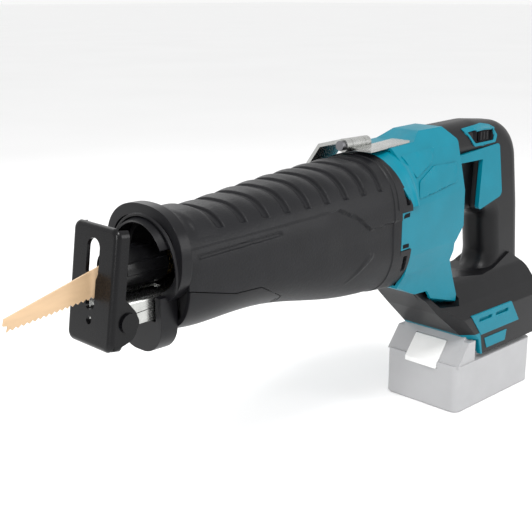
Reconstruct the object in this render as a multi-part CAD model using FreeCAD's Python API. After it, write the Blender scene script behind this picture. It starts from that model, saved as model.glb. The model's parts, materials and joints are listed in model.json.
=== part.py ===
import FreeCAD, Part
import math
import os

from FreeCAD import Vector

# Cordless reciprocating saw, in millimetres. +X is forward, out of the blade end, +Y is the
# tool's left side and +Z is up. The origin is the centre of the battery pack's flat bottom face.

# ---- driving dimensions -------------------------------------------------------------------
HALF_W = 40.5  # half of the body's width, where the boot meets the motor housing
AXIS_Z = 179.0  # height of the stroke axis above the pack's bottom face
SEAM_X = 143.0  # the seam between motor housing and boot, at the sides
BOOT_L = 195.0  # from that seam to the boot's front edge
STROKE = 32.0
BOOT_WALL = 3.0
SHELL_WALL = 2.6  # plastic housings
CASE_WALL = 3.5  # gear case castings
GAP = 0.3  # between pieces that lie in one another without touching
RUN_FIT = 0.05  # radial clearance of a shaft in its bore

PACK_L, PACK_W = 113.0, 75.0
PACK_BOX_H = 41.0  # the full-width part of the pack
PACK_TOP = 62.0  # top of the raised rail block that slides into the foot
PACK_WALL = 2.0
CELL_D, CELL_L = 18.2, 65.0

ROD_D = 15.0
SLEEVE_D = 27.5
SLEEVE_L = 36.0
SHOE_W, SHOE_H, SHOE_T = 44.3, 73.8, 2.5
SHOE_FOLD_R = 3.6  # outside the fold between the shoe's face and its flanges
SHOE_TILT = -7.7  # degrees about +Y, the top of the shoe leaning back
SUPPORT_W = 31.0  # the shoe's steel support channel
SUPPORT_T = 2.0
BLADE_T = 1.25
TOOTH_PITCH = 3.3
GRIP_HALF_W = 17.5
GRIP_ROUND = 14.5
BASE_HALF_W = 37.5
TRIGGER_W = 17.0
TRIGGER_TRAVEL = 8.0

# ---- values worked out from them ----------------------------------------------------------
NOSE_X = SEAM_X + BOOT_L
TAB_X = SEAM_X - 12.5  # the boot reaches back to here above and below the side notch
NOTCH_Z = (AXIS_Z - 22.5, AXIS_Z + 6.0)
CASE_HALF_W = HALF_W - BOOT_WALL - GAP
CASE_REAR_X = SEAM_X - 25.0
GEAR_R = CASE_HALF_W - CASE_WALL - 4.5
CRANK_R = STROKE / 2
GEAR_X = CASE_REAR_X + 9.0 + 3.0 + GEAR_R
MOTOR_Z = AXIS_Z - 12.0
PINION_R = 6.0
PINION_L = 8.0
GEAR_TOP_Z = MOTOR_Z - PINION_R - 0.8
GEAR_T = 11.0
CRANK_SEAT_Z = GEAR_TOP_Z - GEAR_T - 9.0
YOKE_Z = (MOTOR_Z + PINION_R + 1.5, AXIS_Z + 5.0)
YOKE_HALF_X = 11.0
PIN_R = 4.5
ROD_R = ROD_D / 2
SLEEVE_R = SLEEVE_D / 2
SLEEVE_X = NOSE_X - 2.0  # rear end of the clamp sleeve with the plunger fully out
SHOE_X = NOSE_X + 46.8  # front face of the shoe, at mid height
SHOE_Z = AXIS_Z - 6.2
PIVOT_X, PIVOT_Z = SHOE_X - 10.0, AXIS_Z - 26.4
PIVOT_R = 3.0
SUPPORT_HALF = SUPPORT_W / 2
SUPPORT_TOP = AXIS_Z - 15.5
SUPPORT_H = 16.0
STATOR_R = HALF_W - 15.0
MOTOR_X = (SEAM_X - 75.0, SEAM_X - 38.0)
REAR_BEARING_R = 8.0
SHAFT_R = 4.0
BASE_TOP_Z = PACK_TOP + 22.0
HOUSING_REAR_X = 49.0
FLOOR_Z = AXIS_Z - 72.0  # the lowest line of the finger opening
YOKE_HALF_Y = CRANK_R + PIN_R + 4.5
BEARING_R = 11.0
FRONT_BUSH_X = (NOSE_X - 64.0, NOSE_X - 46.0)
REAR_BUSH_X = (GEAR_X + GEAR_R + 36.0, GEAR_X + GEAR_R + 52.0)
BUSH_R = ROD_R + 4.0
NOSE_BORE_R = SLEEVE_R + 5.0
NOSE_BORE_X = NOSE_X - 42.0
SUPPORT_BACK = NOSE_X - 60.0
SLOT_W = 8.4
SHANK_H, SHANK_IN = 12.7, 18.0
CLAMP_PIN_R = 1.9
TOOTH_H = 1.8
GEAR_TEETH, PINION_TEETH = 48, 8
TOP_H = 48.5  # of the housing's flat top at the seam, above the stroke axis
BUTTON_TRAVEL = 2.5
BUTTON_X = (0.0, 15.0)
BUTTON_Z = (AXIS_Z + 43.0, AXIS_Z + 50.5)
LATCH_HALF = 16.0
CELL_SHIFT = 6.8  # the cells sit behind the latch's room
HOOK_X = (TAB_X + 1.0, SEAM_X + 15.3)
HOOK_R, HOOK_PIN_R, HOOK_LOOP = 5.0, 2.0, 6.0
HOOK_Y, HOOK_Z = -4.5, AXIS_Z + 51.8


# ---- helpers ------------------------------------------------------------------------------
def box(x0, x1, y0, y1, z0, z1):
    return Part.makeBox(x1 - x0, y1 - y0, z1 - z0, Vector(x0, y0, z0))


def wide_box(x0, x1, half_y, z0, z1):
    return box(x0, x1, -half_y, half_y, z0, z1)


def cylinder_x(radius, x0, x1, z=AXIS_Z, y=0.0):
    return Part.makeCylinder(radius, x1 - x0, Vector(x0, y, z), Vector(1, 0, 0))


def cylinder_y(radius, y0, y1, x, z):
    return Part.makeCylinder(radius, y1 - y0, Vector(x, y0, z), Vector(0, 1, 0))


def cylinder_z(radius, z0, z1, x, y=0.0):
    return Part.makeCylinder(radius, z1 - z0, Vector(x, y, z0), Vector(0, 0, 1))


def ring_x(outer, inner, x0, x1, z=AXIS_Z):
    return cylinder_x(outer, x0, x1, z).cut(cylinder_x(inner, x0 - 1, x1 + 1, z))


def rounded_wire(corners):
    """A closed wire through (Vector, radius) corners, with a tangent arc at each corner that has a radius."""
    count = len(corners)
    ends = []
    edges = []
    for i, (corner, radius) in enumerate(corners):
        to_last = (corners[i - 1][0] - corner).normalize()
        to_next = (corners[(i + 1) % count][0] - corner).normalize()
        if radius == 0:
            ends.append((corner, corner))
            continue
        half = to_last.getAngle(to_next) / 2
        reach = radius / math.tan(half)
        start, end = corner + to_last * reach, corner + to_next * reach
        inward = (to_last + to_next).normalize()
        middle = corner + inward * (radius / math.sin(half) - radius)
        edges.append(Part.Arc(start, middle, end).toShape())
        ends.append((start, end))
    for i in range(count):
        start, end = ends[i][1], ends[(i + 1) % count][0]
        if start.distanceToPoint(end) > 1e-4:
            edges.append(Part.LineSegment(start, end).toShape())
    return Part.Wire(Part.__sortEdges__(edges))


def side_wire(points, y=0.0):
    """A rounded wire in the XZ plane, from (x, z) or (x, z, radius) points."""
    return rounded_wire([(Vector(p[0], y, p[1]), p[2] if len(p) > 2 else 0) for p in points])


def side_prism(points, y0, y1):
    return Part.Face(side_wire(points, y0)).extrude(Vector(0, y1 - y0, 0))


def front_prism(points, x0, x1):
    """A prism along X of a rounded outline of (y, z) or (y, z, radius) points."""
    corners = [(Vector(x0, p[0], p[1]), p[2] if len(p) > 2 else 0) for p in points]
    return Part.Face(rounded_wire(corners)).extrude(Vector(x1 - x0, 0, 0))


def top_prism(points, z0, z1):
    """A prism along Z of a rounded outline of (x, y) or (x, y, radius) points."""
    corners = [(Vector(p[0], p[1], z0), p[2] if len(p) > 2 else 0) for p in points]
    return Part.Face(rounded_wire(corners)).extrude(Vector(0, 0, z1 - z0))


def mirrored(half):
    """A closed outline of (y, z, radius) points from its +Y half, listed from top to bottom."""
    return list(half) + [(-p[0],) + tuple(p[1:]) for p in reversed(half) if p[0] != 0]


def halves(solid, big=700.0):
    left = solid.common(box(-big, big, 0, big, -big, big))
    right = solid.common(box(-big, big, -big, 0, -big, big))
    return left, right


def screw(position, direction, radius=1.9, head=3.4, length=14.0, head_h=2.2):
    body = Part.makeCylinder(radius, length, position, direction)
    cap = Part.makeCylinder(head, head_h, position - direction * head_h, direction)
    socket = Part.makeCylinder(radius * 0.8, head_h * 0.6, position - direction * head_h, direction)
    return body.fuse(cap).cut(socket)


# ---- the boot and the gear case under it ------------------------------------------------
def body_stations():
    """(x, half width, top z, bottom z) of the boot's outside, from its rear edge to its nose."""
    return [
        (TAB_X, HALF_W, AXIS_Z + 46, AXIS_Z - 60),
        (SEAM_X + BOOT_L * 0.09, HALF_W, AXIS_Z + 44, AXIS_Z - 57),
        (SEAM_X + BOOT_L * 0.39, HALF_W - 1.0, AXIS_Z + 39, AXIS_Z - 50),
        (SEAM_X + BOOT_L * 0.61, HALF_W - 3.0, AXIS_Z + 34.5, AXIS_Z - 43),
        (SEAM_X + BOOT_L * 0.80, HALF_W - 4.5, AXIS_Z + 30.5, AXIS_Z - 42.5),
        (NOSE_X, HALF_W - 6.0, AXIS_Z + 31, AXIS_Z - 42),
    ]


def squarish_wire(x, half_w, top, bottom, power=2.6, count=24):
    """A closed smooth wire round a rounded-square section in the plane at x."""
    middle, half_h = (top + bottom) / 2, (top - bottom) / 2
    points = []
    for i in range(count):
        angle = 2 * math.pi * i / count
        c, s = math.cos(angle), math.sin(angle)
        y = half_w * math.copysign(abs(c) ** (2 / power), c)
        z = half_h * math.copysign(abs(s) ** (2 / power), s)
        points.append(Vector(x, y, middle + z))
    curve = Part.BSplineCurve()
    curve.interpolate(Points=points, PeriodicFlag=True)
    return Part.Wire([curve.toShape()])


def body_loft(inset, x_from, x_to):
    """The boot's outer form shrunk by inset all round, between two stations of x."""
    wires = []
    for x, half_w, top, bottom in body_stations():
        wires.append(squarish_wire(x, half_w - inset, top - inset, bottom + inset))
    loft = Part.makeLoft(wires, True, False)
    return loft.common(wide_box(x_from, x_to, 2 * HALF_W, 0, 2 * AXIS_Z))


def notch_space(x_from, clearance):
    """The room at both sides of the seam into which the motor housing reaches forward."""
    low, high = NOTCH_Z[0] - clearance, NOTCH_Z[1] + clearance
    return wide_box(x_from, SEAM_X + clearance, 2 * HALF_W, low, high)


COVER_SEAM = [  # the line between the boot and the lower cover, from the nose back
    (NOSE_X + 20, AXIS_Z - 13.2),
    (NOSE_X - 1, AXIS_Z - 13.2),
    (NOSE_X - 37, AXIS_Z - 21.7),
    (NOSE_X - 59, AXIS_Z - 22.2),
    (NOSE_X - 81, AXIS_Z - 33.8),
    (NOSE_X - 81, AXIS_Z - 80),
    (NOSE_X + 20, AXIS_Z - 80),
]


def cover_region(grow=0.0):
    points = [(x, z + grow) if i < 5 else (x, z) for i, (x, z) in enumerate(COVER_SEAM)]
    points[4] = (points[4][0] - grow, points[4][1])
    points[5] = (points[5][0] - grow, points[5][1])
    return side_prism(points, -2 * HALF_W, 2 * HALF_W)


def rubber_boot():
    shell = body_loft(0, TAB_X, NOSE_X).cut(body_loft(BOOT_WALL, TAB_X, NOSE_X))
    core = cylinder_x(CASE_HALF_W - 4, TAB_X - 1, SEAM_X, AXIS_Z)
    return shell.cut(notch_space(TAB_X - 1, 0).cut(core)).cut(cover_region(GAP))


def lower_cover():
    shell = body_loft(0, NOSE_X - 81, NOSE_X).cut(body_loft(BOOT_WALL, NOSE_X - 82, NOSE_X))
    return shell.common(cover_region()).cut(shoe_button_room())


def mechanism_room():
    """The hollow of the gear case, with the room that its moving parts sweep."""
    gear_room = cylinder_z(GEAR_R + 1.5, GEAR_TOP_Z - GEAR_T - 1, AXIS_Z + 12, GEAR_X)
    rear = CASE_REAR_X + 9
    slide_room = wide_box(rear, GEAR_X + GEAR_R + 34, YOKE_HALF_Y + 3, YOKE_Z[0] - 2, AXIS_Z + 12)
    pinion_room = cylinder_x(PINION_R + 1.5, rear, GEAR_X, MOTOR_Z)
    return gear_room.fuse(slide_room).fuse(pinion_room)


def gear_case():
    """Both castings in one: the body inside the boot and the flange inside the motor housing."""
    body = body_loft(BOOT_WALL + GAP, SEAM_X + 2, NOSE_X - 3)
    hollow = body_loft(BOOT_WALL + GAP + CASE_WALL, GEAR_X + GEAR_R + 4, FRONT_BUSH_X[0] - 3)
    body = body.cut(hollow.cut(wide_box(REAR_BUSH_X[0], REAR_BUSH_X[1], HALF_W, 0, 2 * AXIS_Z)))
    flange = cylinder_x(CASE_HALF_W - 6, CASE_REAR_X, SEAM_X + 3, AXIS_Z - 4)
    case = body.fuse(flange).cut(mechanism_room())
    case = case.cut(cylinder_x(BEARING_R, CASE_REAR_X, CASE_REAR_X + 10, MOTOR_Z))
    case = case.cut(cylinder_x(BUSH_R, FRONT_BUSH_X[0], NOSE_BORE_X)).cut(cylinder_x(BUSH_R, *REAR_BUSH_X))
    case = case.cut(cylinder_x(ROD_R + 1.5, GEAR_X, NOSE_X))
    case = case.cut(nose_hollow())
    case = case.cut(cylinder_z(BEARING_R, CRANK_SEAT_Z, GEAR_TOP_Z, GEAR_X))
    x, y, z = lamp_place()
    case = case.cut(support_room()).cut(shoe_button_room()).cut(gear_case_screw_holes())
    case = case.cut(cylinder_x(3.0 + RUN_FIT, x - 8.05, x, z, y))
    case = case.cut(cylinder_x(4.0 + RUN_FIT, x, NOSE_X, z, y))
    upper = case.common(box(0, NOSE_X, -99, 99, AXIS_Z, 2 * AXIS_Z))
    lower = case.common(box(0, NOSE_X, -99, 99, 0, AXIS_Z))
    return upper, lower


def nose_hollow():
    """The open mouth round the clamp, above the shoe's support, with a post left for the work lamp."""
    hollow = body_loft(BOOT_WALL + GAP + CASE_WALL, NOSE_BORE_X, NOSE_X - 2)
    hollow = hollow.common(wide_box(0, NOSE_X, HALF_W, SUPPORT_TOP + 3, 2 * AXIS_Z))
    x, y, z = lamp_place()
    lamp_post = cylinder_x(5.5, NOSE_BORE_X, x, z, y)
    return hollow.cut(lamp_post).fuse(cylinder_x(NOSE_BORE_R, NOSE_BORE_X, NOSE_X))


def support_room():
    top, bottom = SUPPORT_TOP + 1.2, SUPPORT_TOP - SUPPORT_H - 1.2
    return wide_box(SUPPORT_BACK - 6, NOSE_X + 60, SUPPORT_HALF + 1.2, bottom, top)


def plunger_bushes():
    pair = [ring_x(BUSH_R, ROD_R + RUN_FIT, *span) for span in (FRONT_BUSH_X, REAR_BUSH_X)]
    return Part.Compound(pair)


def dust_seal():
    """The rubber ring in front of the front bush."""
    return ring_x(BUSH_R, ROD_R + GAP, FRONT_BUSH_X[1], NOSE_BORE_X)


def lamp_place():
    return NOSE_X - 6.0, 20.0, AXIS_Z + 15.5


def work_lamp():
    """The clear lens of the work lamp in the mouth of the nose, with its stem."""
    x, y, z = lamp_place()
    return cylinder_x(3.0, x - 8, x, z, y).fuse(cylinder_x(4.0, x, x + 4, z, y))


def gear_case_screw_places():
    """(x, y) of the screws that hold the two castings together, from below."""
    xs = (REAR_BUSH_X[0] + 8, FRONT_BUSH_X[0] + 4)
    return [(x, side * (BUSH_R + 9)) for x in xs for side in (-1, 1)]


def gear_case_screws():
    z = AXIS_Z - 17
    seats = [Vector(x, y, z) for x, y in gear_case_screw_places()]
    return Part.Compound([screw(seat, Vector(0, 0, 1), 2.0, 3.6, 30, 3) for seat in seats])


def gear_case_screw_holes():
    z = AXIS_Z - 17
    holes = []
    for x, y in gear_case_screw_places():
        holes.append(cylinder_z(2.05, z, z + 30.05, x, y).fuse(cylinder_z(3.65, 0, z, x, y)))
    return Part.Compound(holes)


def button_outline(grow=0.0):
    """The shoe release button under the nose, seen from the side."""
    x0, x1 = NOSE_X - 36 - grow, NOSE_X - 18 + grow
    top, bottom = AXIS_Z - 36.5 + grow, AXIS_Z - 44.2
    return [(x0, top), (x1, top), (x1, bottom, 1.5), (x0, bottom, 1.5)]


def shoe_release_button():
    """The sprung button under the nose that frees the shoe's support."""
    return side_prism(button_outline(), -8, 8)


def shoe_button_room():
    x0, x1 = NOSE_X - 36 - GAP, NOSE_X - 18 + GAP
    return wide_box(x0, x1, 8 + GAP, AXIS_Z - 70, AXIS_Z - 36.5 + BUTTON_TRAVEL + GAP)


# ---- the nose ---------------------------------------------------------------------------
def nose_guard():
    """The ring round the open nose, with the deep chin below it that the shoe's support runs in."""
    _, half_w, top, bottom = body_stations()[-1]
    ring_out = squarish_wire(NOSE_X, half_w + 2.5, top + 6, bottom + 18, 2.3)
    ring = Part.Face(ring_out).extrude(Vector(8, 0, 0))
    opening = squarish_wire(NOSE_X - 1, half_w - 3.5, top - 1, bottom + 24, 2.3)
    ring = ring.cut(Part.Face(opening).extrude(Vector(12, 0, 0)))
    half_chin = SUPPORT_HALF + 6.5
    chin_out = mirrored([(half_chin, AXIS_Z - 17), (half_chin, AXIS_Z - 54.5, 19)])
    chin = front_prism(chin_out, NOSE_X, NOSE_X + 13)
    ring_void = Part.Face(opening).extrude(Vector(30, 0, 0))
    chin = chin.cut(ring_void)
    guard = ring.fuse(chin).cut(support_room())
    return guard.cut(cylinder_x(NOSE_BORE_R, NOSE_X - 1, NOSE_X + 30))


def shoe_support():
    top, bottom = SUPPORT_TOP, SUPPORT_TOP - SUPPORT_H
    outer = mirrored([(SUPPORT_HALF, top, 3), (SUPPORT_HALF, bottom)])
    inner = mirrored([(SUPPORT_HALF - SUPPORT_T, top - SUPPORT_T, 1), (SUPPORT_HALF - SUPPORT_T, bottom - 1)])
    front = PIVOT_X + 8
    channel = front_prism(outer, SUPPORT_BACK, front).cut(front_prism(inner, SUPPORT_BACK - 1, front + 1))
    nose_cut = side_prism([(front - 8, top + 1), (front + 1, top + 1), (front + 1, bottom + 6)], -50, 50)
    channel = channel.cut(nose_cut)
    channel = channel.cut(wide_box(SLEEVE_X, front + 1, 3.0, top - SUPPORT_T - 4, top + 1))
    channel = channel.cut(cylinder_y(PIVOT_R + RUN_FIT, -50, 50, PIVOT_X, PIVOT_Z))
    for i in range(5):
        notch_x = SUPPORT_BACK + 10 + 8 * i
        channel = channel.cut(cylinder_z(2.5, top - 5, top + 5, notch_x))
    return channel


def shoe():
    """A stamped shoe: a slotted face with flanges folded back at both sides, and pivot ears."""
    half, depth = SHOE_W / 2, 9.0
    face = mirrored([(half, SHOE_H / 2, 6), (half, -SHOE_H / 2, 6)])
    blank = front_prism(face, -depth, 0)
    front_edges = [e for e in blank.Edges if all(abs(v.X) < 1e-6 for v in e.Vertexes)]
    blank = blank.makeFillet(SHOE_FOLD_R, front_edges)
    blank = blank.cut(wide_box(-depth - 1, -SHOE_T, half - SHOE_T, -SHOE_H, SHOE_H))
    ear_z = (PIVOT_Z - SHOE_Z) / math.cos(math.radians(SHOE_TILT)) + 1.4
    outline = [
        (-SHOE_FOLD_R, ear_z + 20), (-19, ear_z + 5, 8), (-19, ear_z - 9, 8),
        (-SHOE_FOLD_R, ear_z - 16),
    ]
    ear = side_prism(outline, -half, half)
    ear = ear.cut(wide_box(-50, 0, half - SHOE_T, -SHOE_H, SHOE_H))
    blank = blank.fuse(ear)
    slot_half = SLOT_W / 2
    keyhole = [(slot_half + 2, 28.5, 5.9), (slot_half + 2, 8, 2), (slot_half, 4), (slot_half, -14.2, 3)]
    slot = front_prism(mirrored(keyhole), -5, 5)
    blank = blank.cut(slot).cut(cylinder_x(2.6, -5, 5, -20.5))
    blank.rotate(Vector(0, 0, 0), Vector(0, 1, 0), SHOE_TILT)
    blank.translate(Vector(SHOE_X, 0, SHOE_Z))
    return blank.cut(cylinder_y(PIVOT_R + RUN_FIT, -50, 50, PIVOT_X, PIVOT_Z))


def shoe_pivot_pins():
    half = SHOE_W / 2
    pins = []
    for side in (-1, 1):
        direction = Vector(0, side, 0)
        inner_end = Vector(PIVOT_X, side * (half - 8.5), PIVOT_Z)
        head_seat = Vector(PIVOT_X, side * (half + 0.05), PIVOT_Z)
        shank = Part.makeCylinder(PIVOT_R, 8.6, inner_end, direction)
        pins.append(shank.fuse(Part.makeCylinder(6.2, 1.8, head_seat, direction)))
    return Part.Compound(pins)


# ---- blade, plunger and clamp -----------------------------------------------------------
def plunger_rod():
    """The hardened rod, slotted in front for the blade's shank and flat below where the crank pin passes."""
    rear = GEAR_X + CRANK_R + YOKE_HALF_X
    front = SLEEVE_X + SLEEVE_L - 7
    rod = cylinder_x(ROD_R, rear, front)
    slot = wide_box(front - SHANK_IN, front + 1, BLADE_T / 2 + RUN_FIT, AXIS_Z - SHANK_H / 2, AXIS_Z + 20)
    collar = ring_x(ROD_R + 2.2, ROD_R - 0.5, SLEEVE_X - 6.5, SLEEVE_X - 0.6)
    pin_hole = cylinder_y(CLAMP_PIN_R, -ROD_R - 1, ROD_R + 1, front - SHANK_IN + 7, AXIS_Z)
    flat_end = GEAR_X + CRANK_R + PIN_R + STROKE + 1
    pin_flat = wide_box(rear - 1, flat_end, 2 * ROD_R, 0, YOKE_Z[0])
    return rod.fuse(collar).cut(slot).cut(pin_hole).cut(pin_flat)


def clamp_pin():
    """The pin through the rod's end that holds the blade's shank."""
    x = SLEEVE_X + SLEEVE_L - 7 - SHANK_IN + 7
    return cylinder_y(CLAMP_PIN_R, -ROD_R + 0.6, ROD_R - 0.6, x, AXIS_Z)


def yoke():
    """The plate that the crank pin pushes, with a slot across the stroke."""
    middle = GEAR_X + CRANK_R
    plate = wide_box(middle - YOKE_HALF_X, middle + YOKE_HALF_X, YOKE_HALF_Y, *YOKE_Z)
    slot_z = (YOKE_Z[0] - 1, YOKE_Z[1] - 3)
    return plate.cut(wide_box(middle - PIN_R - 0.5, middle + PIN_R + 0.5, YOKE_HALF_Y - 3, *slot_z))


def blade():
    """A tapering wood blade with raked teeth below, a hooked tip and a narrow shank."""
    front = SLEEVE_X + SLEEVE_L - 7
    heel, tip = front + 8.0, NOSE_X + 104.4
    back_heel, back_tip = AXIS_Z + 3.8, AXIS_Z - 13.2
    root_heel, root_tip = AXIS_Z - 11.0, AXIS_Z - 19.4
    teeth = int((tip - 5 - heel) / TOOTH_PITCH)
    points = [(front - SHANK_IN + 1, AXIS_Z + SHANK_H / 2), (heel - 3, AXIS_Z + SHANK_H / 2)]
    points += [(heel + 3, back_heel + 1.6), (heel + 8, back_heel)]
    points += [(tip, back_tip), (tip + 1.0, back_tip - 4), (tip - 2.2, back_tip - 4.6)]
    for i in range(teeth):
        share = i / teeth
        x = tip - 1 - share * (tip - 1 - heel)
        root = root_tip + share * (root_heel - root_tip)
        points += [(x, root - TOOTH_H), (x - TOOTH_PITCH * 0.72, root)]
    points += [(heel, root_heel), (heel - 3, AXIS_Z - SHANK_H / 2)]
    points += [(front - SHANK_IN + 1, AXIS_Z - SHANK_H / 2)]
    plate = side_prism(points, -BLADE_T / 2, BLADE_T / 2)
    hole = cylinder_y(CLAMP_PIN_R + RUN_FIT, -5, 5, front - SHANK_IN + 7, AXIS_Z)
    return plate.cut(hole)


def clamp_sleeve():
    """The turning sleeve of the blade clamp, with three finger lugs along it."""
    front = SLEEVE_X + SLEEVE_L
    sleeve = cylinder_x(SLEEVE_R - 1.6, SLEEVE_X, front)
    for i in range(3):
        lug = box(SLEEVE_X + 1, front - 4, -3.6, 3.6, 0, SLEEVE_R)
        lug.rotate(Vector(0, 0, 0), Vector(1, 0, 0), 40 + 120 * i)
        lug.translate(Vector(0, 0, AXIS_Z))
        sleeve = sleeve.fuse(lug.common(cylinder_x(SLEEVE_R, SLEEVE_X, front)))
    bore = cylinder_x(ROD_R + RUN_FIT, SLEEVE_X - 1, front - 5)
    mouth = cylinder_x(11.0, front - 6.5, front + 1)
    return sleeve.cut(bore).cut(mouth)


# ---- crank, motor -----------------------------------------------------------------------
def toothed_disc_z(radius, z0, z1, x, teeth, depth):
    disc = cylinder_z(radius, z0, z1, x)
    cuts = []
    for i in range(teeth):
        angle = 360.0 * (i + 0.5) / teeth
        gap = box(radius - depth, radius + 1, -depth * 0.45, depth * 0.45, z1 - depth, z1 + 1)
        gap.rotate(Vector(0, 0, 0), Vector(0, 0, 1), angle)
        gap.translate(Vector(x, 0, 0))
        cuts.append(gap)
    return disc.cut(Part.Compound(cuts))


def crank_gear():
    """The bevel gear with its axle below."""
    gear = toothed_disc_z(GEAR_R, GEAR_TOP_Z - GEAR_T, GEAR_TOP_Z, GEAR_X, GEAR_TEETH, 3.0)
    gear = gear.cut(cylinder_z(GEAR_R - 7, GEAR_TOP_Z - 3, GEAR_TOP_Z + 1, GEAR_X))
    axle = cylinder_z(SHAFT_R + 1, CRANK_SEAT_Z + 0.5, GEAR_TOP_Z - GEAR_T, GEAR_X)
    return gear.fuse(axle)


def crank_pin():
    x = GEAR_X + CRANK_R
    web = cylinder_z(PIN_R + 1.2, GEAR_TOP_Z - 3, GEAR_TOP_Z, x)
    return web.fuse(cylinder_z(PIN_R, GEAR_TOP_Z, YOKE_Z[0] - 0.5, x))


def counterweight():
    """A half disc opposite the crank pin, below the pinion's teeth."""
    z0, z1 = GEAR_TOP_Z - 3, GEAR_TOP_Z
    disc = cylinder_z(GEAR_R - 7.5, z0, z1, GEAR_X).cut(cylinder_z(6, z0 - 1, z1 + 1, GEAR_X))
    return disc.common(box(GEAR_X - GEAR_R, GEAR_X - 2, -GEAR_R, GEAR_R, z0, z1))


def rotor_shaft():
    return cylinder_x(SHAFT_R - RUN_FIT, MOTOR_X[0] - 10, CASE_REAR_X + 11, MOTOR_Z)


def motor_bearings():
    front = ring_x(BEARING_R, SHAFT_R, CASE_REAR_X, CASE_REAR_X + 8, MOTOR_Z)
    rear = ring_x(REAR_BEARING_R, SHAFT_R, MOTOR_X[0] - 10, MOTOR_X[0] - 5, MOTOR_Z)
    return Part.Compound([front, rear])


def crank_bearing():
    ring = cylinder_z(BEARING_R, CRANK_SEAT_Z, CRANK_SEAT_Z + 8, GEAR_X)
    return ring.cut(cylinder_z(SHAFT_R + 1 + RUN_FIT, 0, AXIS_Z, GEAR_X))


def pinion():
    """The motor's small bevel gear."""
    x0 = CASE_REAR_X + 11
    body = cylinder_x(PINION_R, x0, x0 + PINION_L, MOTOR_Z)
    cuts = []
    for i in range(PINION_TEETH):
        gap = box(x0 - 1, x0 + PINION_L + 1, -0.8, 0.8, PINION_R - 1.6, PINION_R + 1)
        gap.rotate(Vector(0, 0, 0), Vector(1, 0, 0), 360.0 * (i + 0.5) / PINION_TEETH)
        gap.translate(Vector(0, 0, MOTOR_Z))
        cuts.append(gap)
    return body.cut(Part.Compound(cuts))


def rotor_core():
    return ring_x(STATOR_R * 0.5 - 0.6, SHAFT_R - RUN_FIT, MOTOR_X[0] + 1, MOTOR_X[1] - 1, MOTOR_Z)


def stator():
    """The laminated ring with six poles."""
    ring = ring_x(STATOR_R, STATOR_R - 5, *MOTOR_X, MOTOR_Z)
    for i in range(6):
        pole = wide_box(MOTOR_X[0], MOTOR_X[1], 3.0, STATOR_R * 0.5, STATOR_R - 4)
        pole.rotate(Vector(0, 0, 0), Vector(1, 0, 0), 60 * i)
        pole.translate(Vector(0, 0, MOTOR_Z))
        ring = ring.fuse(pole)
    return ring.cut(cylinder_x(STATOR_R * 0.5, MOTOR_X[0] - 1, MOTOR_X[1] + 1, MOTOR_Z))


def stator_coils():
    coils = []
    for i in range(6):
        outer = wide_box(MOTOR_X[0] - 3, MOTOR_X[1] + 1.5, 5.2, STATOR_R * 0.62, STATOR_R - 6.2)
        core = wide_box(MOTOR_X[0] - 0.1, MOTOR_X[1] + 0.1, 3.05, 0, STATOR_R)
        coil = outer.cut(core)
        coil.rotate(Vector(0, 0, 0), Vector(1, 0, 0), 60 * i)
        coil.translate(Vector(0, 0, MOTOR_Z))
        coils.append(coil)
    return Part.Compound(coils)


def cooling_fan():
    x0 = MOTOR_X[1] + 2.5
    fan = ring_x(STATOR_R - 2, SHAFT_R - RUN_FIT, x0, x0 + 1.6, MOTOR_Z)
    fan = fan.fuse(ring_x(SHAFT_R + 3, SHAFT_R - RUN_FIT, x0, x0 + 8, MOTOR_Z))
    for i in range(11):
        vane = box(x0 + 1, x0 + 8, -0.7, 0.7, SHAFT_R + 5, STATOR_R - 3)
        vane.rotate(Vector(0, 0, 0), Vector(1, 0, 0), 360.0 * i / 11)
        vane.translate(Vector(0, 0, MOTOR_Z))
        fan = fan.fuse(vane)
    return fan


# ---- motor housing and handle -----------------------------------------------------------
def housing_outline(inset=0.0):
    """The motor housing seen from the side, with the cheek that runs down the strut."""
    front = SEAM_X
    points = [
        (front, AXIS_Z + TOP_H), (front - 40, AXIS_Z + TOP_H + 2.5), (front - 53, AXIS_Z + 57.8),
        (HOUSING_REAR_X + 12, AXIS_Z + 58.5),
        (HOUSING_REAR_X + 2, AXIS_Z + 49), (HOUSING_REAR_X, AXIS_Z - 20),
        (HOUSING_REAR_X + 13, AXIS_Z - 32), (HOUSING_REAR_X + 13, AXIS_Z - 38),
        (HOUSING_REAR_X + 17, AXIS_Z - 45), (HOUSING_REAR_X - 2, AXIS_Z - 82),
        (HOUSING_REAR_X + 2, AXIS_Z - 87), (HOUSING_REAR_X + 25, AXIS_Z - 84),
        (HOUSING_REAR_X + 41, AXIS_Z - 66.5), (HOUSING_REAR_X + 56, AXIS_Z - 66.5),
        (front - 14, AXIS_Z - 56), (front, AXIS_Z - 58),
    ]
    if not inset:
        return Part.Face(side_wire(points, -2 * HALF_W))
    wire = side_wire(points, -2 * HALF_W).makeOffset2D(-inset, 2)
    return Part.Face(wire)


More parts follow.
